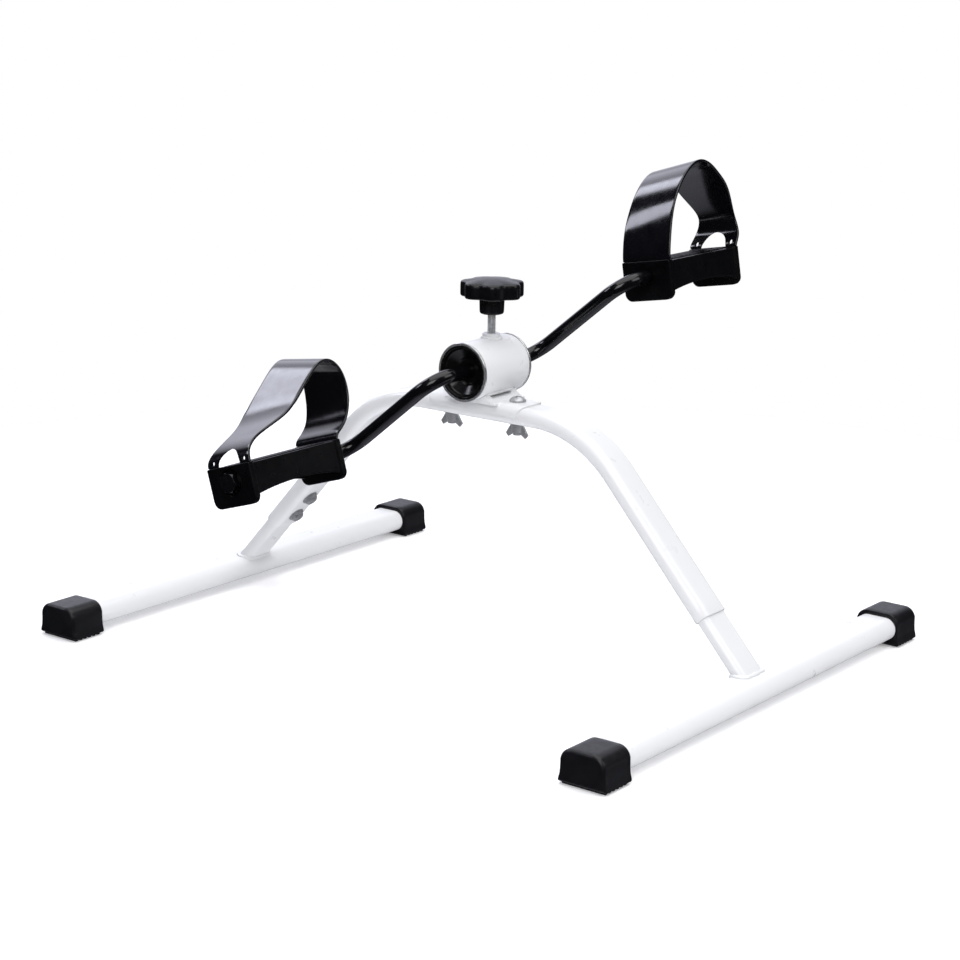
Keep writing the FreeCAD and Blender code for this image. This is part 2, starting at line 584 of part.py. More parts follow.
def strap_line(name, steps=5):
    """Points and directions along the strap's loop, upright where it leaves the two slots."""
    (inner_v, _), (outer_v, _) = slots()
    knots = [Vector(0, v, w) for v, w in STRAP_LINES[name]]
    knots = [Vector(0, inner_v, PLATE_TOP)] + knots + [Vector(0, outer_v, PLATE_TOP)]
    spans = [(end - start).Length for start, end in zip(knots, knots[1:])]
    slopes = [(knots[k + 1] - knots[k - 1]) * (1 / (spans[k - 1] + spans[k]))
              for k in range(1, len(spans))]
    slopes = [UP] + slopes + [UP * -1]
    line = []
    for k, span in enumerate(spans):
        leave, arrive = slopes[k] * span, slopes[k + 1] * span
        for j in range(steps):
            t = j / steps
            point = (knots[k] * (2 * t ** 3 - 3 * t ** 2 + 1) + leave * (t ** 3 - 2 * t ** 2 + t)
                     + knots[k + 1] * (3 * t ** 2 - 2 * t ** 3) + arrive * (t ** 3 - t ** 2))
            slope = ((knots[k + 1] - knots[k]) * (6 * t - 6 * t ** 2)
                     + leave * (3 * t ** 2 - 4 * t + 1) + arrive * (3 * t ** 2 - 2 * t))
            line.append((point, slope.normalize()))
    return line + [(knots[-1], UP * -1)]


def strap_outline(name, u):
    """Side outline of the strap at u: straight legs in the slots and a twisted loop above."""
    line = strap_line(name)

    def edge(sign):
        points = []
        for point, slope in line:
            rise = min(max((point.z - TWIST_FROM) / (TWIST_TO - TWIST_FROM), 0), 1)
            drop = STRAP_TWIST[name] * rise ** 2 * (3 - 2 * rise) * u / (STRAP_WIDTH / 2)
            side = Vector(0, -slope.z, slope.y) * (sign * STRAP_THICK / 2)
            points.append(point + side + Vector(u, 0, -drop))
        return points

    above, below = edge(1), edge(-1)
    leg = UP * (PLATE_TOP - SLOT_FLOOR - 0.3)
    upper, lower = Part.BSplineCurve(), Part.BSplineCurve()
    upper.interpolate(above)
    lower.interpolate(below[::-1])
    outer_leg = [above[-1], above[-1] - leg, below[-1] - leg, below[-1]]
    inner_leg = [below[0], below[0] - leg, above[0] - leg, above[0]]
    edges = [upper.toShape()]
    edges += [Part.LineSegment(*ends).toShape() for ends in zip(outer_leg, outer_leg[1:])]
    edges.append(lower.toShape())
    edges += [Part.LineSegment(*ends).toShape() for ends in zip(inner_leg, inner_leg[1:])]
    return Part.Wire(edges)


def strap_plan(name):
    """Outer end seen along the axle: prongs, shoulders, a neck, then full width."""
    half, shoulder = STRAP_WIDTH / 2, PLATE_TOP + 0.1
    neck, full = STRAP_NECK[name]

    def bend(u0, w0, u1, w1):
        pull = 0.45 * (w1 - w0)
        curve = Part.BezierCurve()
        curve.setPoles([Vector(u0, 0, w0), Vector(u0, 0, w0 + pull),
                        Vector(u1, 0, w1 - pull), Vector(u1, 0, w1)])
        return curve.toShape()

    def run(*points):
        ends = [Vector(u, 0, w) for u, w in points]
        return [Part.LineSegment(*pair).toShape() for pair in zip(ends, ends[1:])]

    edges = run((-PRONG_OUT, 0), (PRONG_OUT, 0), (PRONG_OUT, shoulder), (half, shoulder),
                (half, STRAP_FOOT))
    edges += [bend(half, STRAP_FOOT, NECK_HALF, neck), bend(NECK_HALF, neck, half, full)]
    edges += run((half, full), (half, 100), (-half, 100), (-half, full))
    edges += [bend(-half, full, -NECK_HALF, neck), bend(-NECK_HALF, neck, -half, STRAP_FOOT)]
    edges += run((-half, STRAP_FOOT), (-half, shoulder), (-PRONG_OUT, shoulder), (-PRONG_OUT, 0))
    return Part.Face(Part.Wire(edges))


def strap(name):
    """Moulded strap: a tongue at its inner end; a neck and a round hole at its outer end."""
    half, shoulder, crest = STRAP_WIDTH / 2, PLATE_TOP + 0.1, 25.0
    sides = [strap_outline(name, u) for u in (-half, half)]
    band = Part.makeLoft(sides, True, True)
    plan = strap_plan(name)
    plan.translate(LEFT * crest)
    inner_end = box(Vector(-half, -40, shoulder), Vector(half, crest, 100))
    inner_end = inner_end.fuse(box(Vector(-PRONG_OUT, -40, 0), Vector(PRONG_OUT, crest, shoulder)))
    inner_end = inner_end.cut(box(Vector(-STRAP_HOLE, -40, 0),
                                  Vector(STRAP_HOLE, crest, TONGUE_FLOOR + 0.3)))
    outer_end = plan.extrude(LEFT * 115)
    start = Vector(0, crest, STRAP_HOLE_W)
    outer_end = outer_end.cut([cylinder(STRAP_HOLE, start, LEFT, 115),
                               box(Vector(-STRAP_HOLE, crest, 0),
                                   Vector(STRAP_HOLE, crest + 115, STRAP_HOLE_W))])
    for side in (-1, 1):
        outer_end = outer_end.cut(cylinder(EYE_RADIUS, Vector(side * EYE_U, crest, EYE_W), LEFT, 115))
    band = band.common(inner_end.fuse(outer_end))
    for side in (-1, 1):
        band = band.cut(cylinder(PIN_RADIUS, Vector(side * PIN_U, -40, PIN_W), LEFT, 180))
    return band.removeSplitter()


def strap_pins():
    """Two pins through each end plate and the strap end inside it."""
    pins = []
    for v, out in slots():
        for u in (-PIN_U, PIN_U):
            start = Vector(u, v - 2.0 * out, PIN_W)
            pins.append(cylinder(PIN_RADIUS, start, LEFT * out, END_PLATE / 2 + 2.4))
    return group(*pins)


# ---------------------------------------------------------------- build
def main():
    os.makedirs("parts", exist_ok=True)
    for end_name, end in (("front", 1), ("rear", -1)):
        x = end * BAR_SPACING / 2
        save(floor_bar(x), end_name + "_floor_bar")
        save(leg_stub(end), end_name + "_leg_stub")
        for side_name, side in SIDES.items():
            save(cap(x, side), end_name + "_" + side_name + "_cap")
    save(arch_tube(), "arch_tube")
    screws, weld_nuts = leg_fasteners()
    save(screws, "leg_screws")
    save(weld_nuts, "leg_weld_nuts")
    save(saddle_bracket(), "saddle_bracket")
    fasteners = ("bracket_bolts", "bracket_washers", "bracket_wing_nuts")
    for shape, name in zip(bracket_fasteners(), fasteners):
        save(shape, name)
    save(housing_tube(), "housing_tube")
    save(screw_boss(), "screw_boss")
    save(crank_rod(), "crank_rod")
    save(friction_sleeve(), "friction_sleeve")
    pad, shoe = brake_parts()
    save(pad, "friction_pad")
    save(shoe, "brake_shoe")
    for shape, name in zip(knob_parts(), ("tension_screw", "knob_insert", "tension_knob")):
        save(shape, name)
    washers, nuts = zip(*[axle_end(side) for side in (-1, 1)])
    save(group(*washers), "axle_washers")
    save(group(*nuts), "axle_lock_nuts")
    for name, side in SIDES.items():
        save(trim_ring(side), name + "_trim_ring")
        save(bearing_cup(side), name + "_bearing_cup")
        save(place_pedal(pedal_body(), name), name + "_pedal_body")
        save(place_pedal(strap(name), name), name + "_strap")
        save(place_pedal(strap_pins(), name), name + "_strap_pins")


main()
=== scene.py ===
import json
import math

import bmesh
import bpy
from mathutils import Matrix, Vector, noise


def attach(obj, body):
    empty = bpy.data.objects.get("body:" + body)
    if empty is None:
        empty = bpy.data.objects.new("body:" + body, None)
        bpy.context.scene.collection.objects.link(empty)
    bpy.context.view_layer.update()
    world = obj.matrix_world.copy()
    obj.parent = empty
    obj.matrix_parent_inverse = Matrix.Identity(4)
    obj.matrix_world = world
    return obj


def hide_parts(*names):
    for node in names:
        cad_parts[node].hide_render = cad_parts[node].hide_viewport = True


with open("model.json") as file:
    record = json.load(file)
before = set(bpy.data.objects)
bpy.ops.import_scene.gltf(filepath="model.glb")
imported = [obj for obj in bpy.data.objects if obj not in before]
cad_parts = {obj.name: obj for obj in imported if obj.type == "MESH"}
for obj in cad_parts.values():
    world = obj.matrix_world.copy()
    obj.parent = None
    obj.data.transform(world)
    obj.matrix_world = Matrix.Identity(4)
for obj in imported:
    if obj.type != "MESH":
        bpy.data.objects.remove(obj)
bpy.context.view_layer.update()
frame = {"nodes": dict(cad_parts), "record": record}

MM = 0.001
UP, LEFT = Vector((0, 0, 1)), Vector((0, 1, 0))

# Dimensions shared with the CAD model, in millimetres
BAR_X, BAR_BOTTOM, BAR_WIDTH, BAR_HEIGHT = 228.5, 4.6, 30.4, 16.4
BAR_OVERALL = 400.0
CAP_LENGTH, CAP_WIDTH, CAP_TOP, CAP_SHOULDER = 29.3, 36.2, 24.0, 8.5
ARCH_WIDTH, ARCH_THICK, ARCH_WALL = 29.0, 12.8, 1.2
STUB_INSET = 2.8                 # how much smaller the stub's outline is than the arch tube's
ARCH_TOP, ARCH_BEND = 176.3, 90.0
LEG_LEAN = math.radians(41.9)
LEG_FOOT_X, LEG_FOOT_Z, SLEEVE_END_Z = 224.3, 19.0, 54.0
SHAFT_Z = 198.4
HOUSING_RADIUS, HOUSING_LENGTH = 20.5, 53.4
RING_RADIUS, RING_WIDTH = 20.9, 2.0
CUP_DEPTH, CUP_RADIUS = 14.0, 19.1
KNOB_Y = 6.5
BOSS_RADIUS, BOSS_TOP = 6.3, 23.6
HUB_RADIUS, HUB_BOTTOM = 8.6, 37.3
KNOB_BOTTOM, KNOB_TOP, KNOB_CROWN = 49.4, 60.3, 62.6
KNOB_RADIUS, KNOB_LOBES = 22.7, 7
ROD_RADIUS, ROD_BEND = 5.0, 19.0
SCREW_RADIUS, RUNNING_GAP = 3.0, 0.06
CRANK_X, CRANK_Z, ARM_Y = 76.2, 62.1, 58.0
PEDAL_START, PEDAL_LENGTH = 86.3, 93.0
END_PLATE, PLATE_TOP = 4.8, 11.2
SIDES = {"right": -1, "left": 1}
ENDS = {"front": 1, "rear": -1}
PITCH = {"right": math.radians(17.4), "left": math.radians(9.7)}
STRAP_THICK, STRAP_WIDTH = 1.9, 40.0
STRAP_HOLE, STRAP_HOLE_W, PRONG_OUT = 11.0, 10.6, 18.0
TONGUE_FLOOR, STRAP_FOOT, NECK_HALF = 8.0, 12.8, 15.4
STRAP_NECK = {"right": (27.5, 40.3), "left": (33.8, 58.5)}
STRAP_TWIST = {"right": 3.3, "left": -2.7}
TWIST_FROM, TWIST_TO = 24.0, 50.0
EYE_U, EYE_W, EYE_RADIUS = 14.6, 14.3, 1.6
STRAP_LINES = {                  # strap centreline (v, w), upwards from the inner slot and over
    "right": [(0.3, 14.8), (-5.5, 18.4), (-12, 24), (-16.6, 32.5), (-19.2, 43), (-19.2, 54), (-15.8, 63),
              (-8.3, 69), (1.2, 69), (11, 64), (23, 55.2), (33.6, 47.3), (42.8, 41), (54, 34.8),
              (66.6, 29.6), (75.8, 26), (84.3, 21.3), (89.3, 16.4)],
    "left": [(3.2, 17.1), (5.7, 26), (10.1, 37.3), (17.3, 49.3), (27.7, 60.8), (40.8, 70), (54.2, 73.8),
             (66.9, 70.5), (79, 60.8), (89.3, 50.3), (97, 39.4), (100.2, 29.5), (98.6, 21.4),
             (94.4, 16.2)],
}


# ---------------------------------------------------------------- materials
def finish_material(slot, dark, light, rough, cloud, grain, relief, metallic=0.0, coat=0.0,
                    stretch=(1, 1, 1), shine=0.5):
    """Procedural finish: drifting colour, uneven gloss and a fine relief, sized in millimetres."""
    made = bpy.data.materials.new(slot)
    made.use_nodes = True
    nodes, links = made.node_tree.nodes, made.node_tree.links
    shader = nodes["Principled BSDF"]
    shader.inputs["Metallic"].default_value = metallic
    shader.inputs["Specular IOR Level"].default_value = shine
    shader.inputs["Coat Weight"].default_value = coat
    shader.inputs["Coat Roughness"].default_value = 0.06
    place = nodes.new("ShaderNodeTexCoord")
    mapping = nodes.new("ShaderNodeMapping")
    mapping.inputs["Scale"].default_value = stretch
    links.new(place.outputs["Object"], mapping.inputs["Vector"])

    def noise_node(size, detail, roughness):
        node = nodes.new("ShaderNodeTexNoise")
        node.inputs["Scale"].default_value = 1000.0 / size
        node.inputs["Detail"].default_value = detail
        node.inputs["Roughness"].default_value = roughness
        links.new(mapping.outputs["Vector"], node.inputs["Vector"])
        return node

    drift = noise_node(cloud, 5.0, 0.55)
    fine = noise_node(grain, 3.0, 0.6)
    ramp = nodes.new("ShaderNodeValToRGB")
    ramp.color_ramp.elements[0].position, ramp.color_ramp.elements[1].position = 0.3, 0.7
    ramp.color_ramp.elements[0].color = (*dark, 1)
    ramp.color_ramp.elements[1].color = (*light, 1)
    links.new(drift.outputs["Fac"], ramp.inputs["Fac"])
    links.new(ramp.outputs["Color"], shader.inputs["Base Color"])
    gloss = noise_node(cloud * 0.35, 4.0, 0.6)
    spread = nodes.new("ShaderNodeMapRange")
    spread.inputs["From Min"].default_value, spread.inputs["From Max"].default_value = 0.3, 0.7
    spread.inputs["To Min"].default_value, spread.inputs["To Max"].default_value = rough
    links.new(gloss.outputs["Fac"], spread.inputs["Value"])
    links.new(spread.outputs["Result"], shader.inputs["Roughness"])
    bump = nodes.new("ShaderNodeBump")
    bump.inputs["Distance"].default_value = relief * MM
    bump.inputs["Strength"].default_value = 1.0
    links.new(fine.outputs["Fac"], bump.inputs["Height"])
    links.new(bump.outputs["Normal"], shader.inputs["Normal"])
    return made


# Range of colour and of roughness, then the sizes of drift, grain and relief in millimetres
FINISHES = {
    "white_powder_coat": dict(dark=(0.762, 0.768, 0.780), light=(0.780, 0.786, 0.796), rough=(0.27, 0.31),
                              cloud=60, grain=2.4, relief=0.008, coat=0.15),
    "black_rubber": dict(dark=(0.003, 0.003, 0.004), light=(0.006, 0.006, 0.008), rough=(0.32, 0.42),
                         cloud=12, grain=0.5, relief=0.015, shine=0.30),
    "zinc": dict(dark=(0.34, 0.345, 0.36), light=(0.50, 0.505, 0.52), rough=(0.26, 0.42),
                 cloud=4, grain=0.4, relief=0.02, metallic=0.55),
    "dark_zinc": dict(dark=(0.26, 0.265, 0.28), light=(0.38, 0.385, 0.40), rough=(0.30, 0.46),
                      cloud=3, grain=0.4, relief=0.02, metallic=0.45),
    "chrome_trim": dict(dark=(0.50, 0.505, 0.52), light=(0.64, 0.645, 0.655), rough=(0.06, 0.14),
                        cloud=8, grain=1.0, relief=0.005, metallic=0.8),
    "black_bearing": dict(dark=(0.002, 0.002, 0.002), light=(0.004, 0.004, 0.004), rough=(0.14, 0.24),
                          cloud=8, grain=0.8, relief=0.01, shine=0.3),
    "black_enamel": dict(dark=(0.0015, 0.0015, 0.002), light=(0.003, 0.003, 0.004), rough=(0.10, 0.18),
                         cloud=20, grain=1.8, relief=0.012, shine=0.35),
    "brake_lining": dict(dark=(0.12, 0.09, 0.06), light=(0.24, 0.18, 0.13), rough=(0.8, 0.95),
                         cloud=2, grain=0.6, relief=0.2),
    "brass_insert": dict(dark=(0.58, 0.42, 0.18), light=(0.74, 0.56, 0.28), rough=(0.22, 0.34),
                         cloud=3, grain=0.3, relief=0.02, metallic=1.0, stretch=(1, 1, 8)),
    "black_knob": dict(dark=(0.0015, 0.0015, 0.002), light=(0.003, 0.003, 0.004), rough=(0.26, 0.34),
                       cloud=10, grain=0.5, relief=0.012, shine=0.3),
    "black_moulding": dict(dark=(0.001, 0.001, 0.0015), light=(0.0025, 0.0025, 0.003), rough=(0.26, 0.36),
                           cloud=14, grain=0.7, relief=0.01, shine=0.10),
    "black_strap": dict(dark=(0.0015, 0.0015, 0.0025), light=(0.003, 0.003, 0.0045), rough=(0.10, 0.16),
                        cloud=18, grain=2.5, relief=0.012),
}
MATERIALS = {slot: finish_material(slot, **finish) for slot, finish in FINISHES.items()}


# ---------------------------------------------------------------- mesh helpers
def settle(obj, body, slot, *replaced, sharp=38):
    """Give a finished piece its material and its body, and hide the CAD nodes that it stands for."""
    obj.data.materials.clear()
    obj.data.materials.append(MATERIALS[slot])
    obj.data.shade_smooth()
    obj.data.set_sharp_from_angle(angle=math.radians(sharp))
    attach(obj, body)
    if replaced:
        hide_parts(*replaced)


def new_object(name, mesh):
    obj = bpy.data.objects.new(name, mesh)
    bpy.context.scene.collection.objects.link(obj)
    return obj


class Shell:
    """Collects vertices in millimetres and faces for one mesh."""

    def __init__(self):
        self.points, self.faces = [], []

    def ring(self, points):
        """Add one ring of points and give back their numbers."""
        start = len(self.points)
        self.points += [Vector(point) for point in points]
        return list(range(start, len(self.points)))

    def bridge(self, first, second):
        """A band of faces between two rings of as many points each."""
        for k in range(len(first)):
            after = (k + 1) % len(first)
            self.faces.append((first[k], first[after], second[after], second[k]))

    def loft(self, rings, close=False):
        """Skin over rings of points: `close` joins the last ring to the first, or else both are capped."""
        indexed = [self.ring(points) for points in rings]
        for first, second in zip(indexed, indexed[1:]):
            self.bridge(first, second)
        if close:
            self.bridge(indexed[-1], indexed[0])
        else:
            self.faces.append(tuple(indexed[0]))
            self.faces.append(tuple(reversed(indexed[-1])))

    def object(self, name):
        """The finished object in metres, with doubled points merged and faces turned outward."""
        mesh = bpy.data.meshes.new(name)
        mesh.from_pydata([point * MM for point in self.points], [], self.faces)
        work = bmesh.new()
        work.from_mesh(mesh)
        bmesh.ops.remove_doubles(work, verts=work.verts, dist=1e-7)
        bmesh.ops.recalc_face_normals(work, faces=work.faces)
        work.to_mesh(mesh)
        work.free()
        return new_object(name, mesh)


def lathe(shell, profile, origin, axis, segments):
    """Revolve a closed outline of (radius, distance) points about an axis."""
    origin, axis = Vector(origin), axis.normalized()
    side = axis.orthogonal().normalized()
    third = axis.cross(side)
    rings = []
    for radius, along in profile:
        rings.append([origin + axis * along + (side * math.cos(a) + third * math.sin(a)) * radius
                      for a in (2 * math.pi * k / segments for k in range(segments))])
    shell.loft(rings, close=True)


def rounded(points, radii, steps=4):
    """A 2-D outline with its corners turned into small curves, by one radius for each corner."""
    result = []
    for k, (point, radius) in enumerate(zip(points, radii)):
        here = Vector(point)
        if radius <= 0:
            result.append(tuple(here))
            continue
        into, out = here - Vector(points[k - 1]), Vector(points[(k + 1) % len(points)]) - here
        reach = min(radius * math.tan(into.angle(out) / 2), into.length * 0.48, out.length * 0.48)
        start, end = here - into.normalized() * reach, here + out.normalized() * reach
        for step in range(steps + 1):
            t = step / steps
            result.append(tuple(start * (1 - t) ** 2 + here * (2 * t * (1 - t)) + end * t ** 2))
    return result


def oval(width, thick, steps=12):
    """Flat-oval outline as (across, through) points."""
    radius, reach = thick / 2, width / 2 - thick / 2
    points = []
    for centre, first in ((reach, -math.pi / 2), (-reach, math.pi / 2)):
        for k in range(steps + 1):
            angle = first + math.pi * k / steps
            points.append((centre + radius * math.cos(angle), radius * math.sin(angle)))
    flat = [(reach * (1 - 2 * k / 6), radius) for k in range(1, 6)]
    return points[:steps + 1] + flat + points[steps + 1:] + [(-a, -t) for a, t in flat]


def rounded_path(corners, radius, arc_steps, run_step):
    """Points and directions along straight runs joined by tangent arcs."""
    corners = [Vector(corner) for corner in corners]
    path = []

    def run(start, end):
        count = max(1, round((end - start).length / run_step))
        direction = (end - start).normalized()
        for k in range(count + 1):
            path.append((start.lerp(end, k / count), direction))

    start = corners[0]
    for before, corner, after in zip(corners, corners[1:], corners[2:]):
        into, out = (corner - before).normalized(), (after - corner).normalized()
        turn = into.angle(out)
        cut = radius * math.tan(turn / 2)
        arc_start, arc_end = corner - into * cut, corner + out * cut
        run(start, arc_start)
        axis = into.cross(out).normalized()
        inward = axis.cross(into)
        centre = arc_start + inward * radius
        for k in range(1, arc_steps):
            turned = Matrix.Rotation(turn * k / arc_steps, 3, axis)
            path.append((centre - turned @ inward * radius, turned @ into))
        start = arc_end
    run(start, corners[-1])
    clean = [path[0]]
    for point, direction in path[1:]:
        if (point - clean[-1][0]).length > 1e-4:
            clean.append((point, direction))
    return clean


def bead(shell, curve, radius, pitch, segments):
    """Weld bead laid along a closed curve of (point, outward) pairs, with small overlapping scales."""
    ripple, travelled, rings = 0.25, 0.0, []
    for k, (point, outward) in enumerate(curve):
        following, previous = curve[(k + 1) % len(curve)][0], curve[k - 1][0]
        along = (following - previous).normalized()
        outward = (outward - along * outward.dot(along)).normalized()
        side = along.cross(outward)
        travelled += (following - point).length
        phase = (travelled / pitch) % 1.0
        wobble = noise.noise(point * 0.35) * 0.3
        size = radius * (1 - ripple * phase ** 2 + wobble)
        rings.append([point + (outward * math.cos(a) + side * math.sin(a)) * size
                      for a in (2 * math.pi * j / segments for j in range(segments))])
    shell.loft(rings, close=True)


def evaluated(obj):
    """The object's mesh with its modifiers applied; the object itself is removed."""
    depsgraph = bpy.context.evaluated_depsgraph_get()
    depsgraph.update()
    mesh = bpy.data.meshes.new_from_object(obj.evaluated_get(depsgraph))
    bpy.data.objects.remove(obj)
    return mesh


def moulded(name, node, voxel, passes, body, slot, spin=0.0, keep=1.0):
    """The CAD node's shape with its edges rounded as moulding or forming rounds them.

    It is remeshed at `voxel` millimetres, turned by `spin` so that its flat faces lie along the grid, and
    thinned to the share `keep` of its faces.
    """
    mesh = frame["nodes"][node].data.copy()
    turn = Matrix.Rotation(spin, 4, LEFT)
    mesh.transform(turn)
    work = new_object(name + "_work", mesh)
    weld = work.modifiers.new("weld", "WELD")
    weld.merge_threshold = 1e-6
    remesh = work.modifiers.new("remesh", "REMESH")
    remesh.mode = "VOXEL"
    remesh.voxel_size = voxel * MM
    smooth = work.modifiers.new("smooth", "SMOOTH")
    smooth.factor, smooth.iterations = 0.5, passes
    if keep < 1:
        thin = work.modifiers.new("thin", "DECIMATE")
        thin.ratio = keep
    result = evaluated(work)
    result.transform(turn.inverted())
    settle(new_object(name, result), body, slot, node, sharp=60)


# ---------------------------------------------------------------- base
def leg_point(z, end):
    """The middle of a leg at a given height; `end` is 1 for the front leg and -1 for the rear one."""
    return Vector((end * (LEG_FOOT_X - (z - LEG_FOOT_Z) * math.tan(LEG_LEAN)), 0, z))


def bar_surface(x):
    """Height of the bar's upper surface at a distance x from the middle of the frame."""
    radius = BAR_HEIGHT / 2
    past = max(0.0, abs(abs(x) - BAR_X) - (BAR_WIDTH / 2 - radius))
    return BAR_BOTTOM + radius + math.sqrt(max(0.0, radius ** 2 - past ** 2))


def build_arch():
    """The bent tube, open at both lower ends, with softened rims."""
    peak, lip = ARCH_TOP - ARCH_THICK / 2, 0.4
    corners = [leg_point(SLEEVE_END_Z, -1), leg_point(peak, -1),
               leg_point(peak, 1), leg_point(SLEEVE_END_Z, 1)]
    path = rounded_path(corners, ARCH_BEND, arc_steps=40, run_step=10)

    def section(station, shrink, shift=0.0):
        centre, direction = station
        middle = centre + direction * shift
        through = direction.cross(LEFT).normalized()
        outline = oval(ARCH_WIDTH - 2 * shrink, ARCH_THICK - 2 * shrink)
        return [middle + LEFT * across + through * deep for across, deep in outline]

    first, last = path[0], path[-1]
    rings = [section(first, lip), section(first, lip * 0.3, lip * 0.3), section(first, 0, lip)]
    rings += [section(station, 0) for station in path[1:-1]]
    rings += [section(last, 0, -lip), section(last, lip * 0.3, -lip * 0.3), section(last, lip)]
    rings += [section(station, ARCH_WALL) for station in reversed(path)]
    shell = Shell()
    shell.loft(rings, close=True)
    settle(shell.object("arch"), "frame", "white_powder_coat", "arch_tube")


def build_foot_welds():
    """Weld bead round the foot of each stub, where it is coped on to its bar."""
    outline = oval(ARCH_WIDTH - STUB_INSET, ARCH_THICK - STUB_INSET, steps=16)
    for name, end in ENDS.items():
        foot, above = leg_point(BAR_BOTTOM + BAR_HEIGHT, end), leg_point(100, end)
        direction = (above - foot).normalized()
        through = direction.cross(LEFT).normalized()
        curve = []
        for across, deep in outline:
            start = foot + LEFT * across + through * deep
            point = start.copy()
            for _ in range(12):
                point = start + direction * ((bar_surface(point.x) - start.z) / direction.z)
            middle = foot + direction * (point - foot).dot(direction)
            curve.append((point, (point - middle).normalized()))
        shell = Shell()
        bead(shell, curve, 1.9, pitch=2.2, segments=12)
        settle(shell.object(name + "_foot_weld"), "frame", "white_powder_coat")


def cap_outline():
    """Half-round-shouldered section with a flared sole, as (x, z) points."""
    half = CAP_WIDTH / 2
    sole, flat, wide = 1.6, half - 3.0, half - 1.5
    right = [(flat, sole), (half, sole + 0.2), (half - 0.2, 3.4), (wide + 0.35, 7.0), (wide, 11.0),
             (wide - 0.1, CAP_TOP - CAP_SHOULDER)]
    radii = [0, 0.7, 1.0, 3.0, 0, 0]
    side = rounded(right, radii)
    for k in range(1, 13):
        angle = math.pi / 2 * k / 12
        side.append((wide - CAP_SHOULDER + CAP_SHOULDER * math.cos(angle),
                     CAP_TOP - CAP_SHOULDER + CAP_SHOULDER * math.sin(angle)))
    top = [((wide - CAP_SHOULDER) * (1 - k / 4), CAP_TOP) for k in range(1, 4)]
    bottom = [(-flat * (1 - 2 * k / 8), sole) for k in range(1, 8)]
    return side + top + [(-x, z) for x, z in reversed(side + top[:-1])] + bottom


def build_cap(node, x, side):
    """Rubber boot with a rounded end, a lip round the bar and a ribbed sole."""
    outline = cap_outline()
    middle, half = CAP_TOP * 0.5, CAP_WIDTH / 2
    outer_y, edge = BAR_OVERALL / 2, 2.6

    def section(distance, inset):
        narrow, low = 1 - inset / half, 1 - inset / middle
        return [Vector((x + across * narrow, side * (outer_y - distance), middle + (height - middle) * low))
                for across, height in outline]

    stations = [(edge * (1 - math.sin(a)), edge * (1 - math.cos(a)))
                for a in (math.pi / 2 * k / 7 for k in reversed(range(8)))]
    stations += [(6 * k, 0) for k in range(1, 5)]
    stations += [(CAP_LENGTH - 1.2, 0), (CAP_LENGTH - 0.35, 0.3), (CAP_LENGTH, 1.1), (CAP_LENGTH, 1.9)]
    shell = Shell()
    shell.loft([section(distance, inset) for distance, inset in stations])
    ribs, margin, deep = 6, 2.2, 2.2
    reach = half - margin
    pitch = (CAP_LENGTH - 2 * margin) / ribs
    for k in range(ribs):
        near = outer_y - margin - pitch * (k + 0.88)
        far = outer_y - margin - pitch * (k + 0.12)
        low = rounded([(near, deep), (near + 0.25, 0), (far - 0.25, 0), (far, deep)], [0, 0.5, 0.5, 0])
        shell.loft([[Vector((x + s * reach, side * y, z)) for y, z in low] for s in (-1, 1)])
    settle(shell.object("boot_" + node), "frame", "black_rubber", node)


build_arch()
build_foot_welds()
for end_name, end in ENDS.items():
    for side_name, side in SIDES.items():
        build_cap("%s_%s_cap" % (end_name, side_name), end * BAR_X, side)


# ---------------------------------------------------------------- housing
def build_housing():
    """The housing tube with a bright ring and a hollow bearing cup at each end."""
    face, centre = HOUSING_LENGTH / 2, (0, 0, SHAFT_Z)
    half, inner, bore = face - RING_WIDTH, face - CUP_DEPTH, ROD_RADIUS + RUNNING_GAP
    seam = 0.25
    shell = Shell()
    profile = [(CUP_RADIUS, -half), (HOUSING_RADIUS, -half), (HOUSING_RADIUS, half), (CUP_RADIUS, half)]
    lathe(shell, rounded(profile, [0, 0.5, 0.5, 0]), centre, LEFT, segments=120)
    settle(shell.object("housing"), "frame", "white_powder_coat", "housing_tube")
    for name, side in SIDES.items():
        shell = Shell()
        profile = [(CUP_RADIUS, half + seam), (RING_RADIUS, half + seam), (RING_RADIUS, half + RING_WIDTH),
                   (CUP_RADIUS, half + RING_WIDTH)]
        lathe(shell, rounded(profile, [0, 0.55, 0.7, 0.1]), centre, LEFT * side, segments=120)
        settle(shell.object(name + "_end_ring"), "frame", "chrome_trim", name + "_trim_ring")
        shell = Shell()
        profile = [(bore, inner), (CUP_RADIUS, inner), (CUP_RADIUS, face + 0.1), (17.4, face + 0.1),
                   (16.2, face - 2.6), (10.2, face - 7.0), (8.6, face - 8.6), (bore, face - 8.6)]
        lathe(shell, rounded(profile, [0, 0, 0.5, 0.7, 2.5, 2.0, 0.8, 0.3], steps=6), centre, LEFT * side,
              segments=120)
        settle(shell.object(name + "_cup"), "frame", "black_bearing", name + "_bearing_cup")


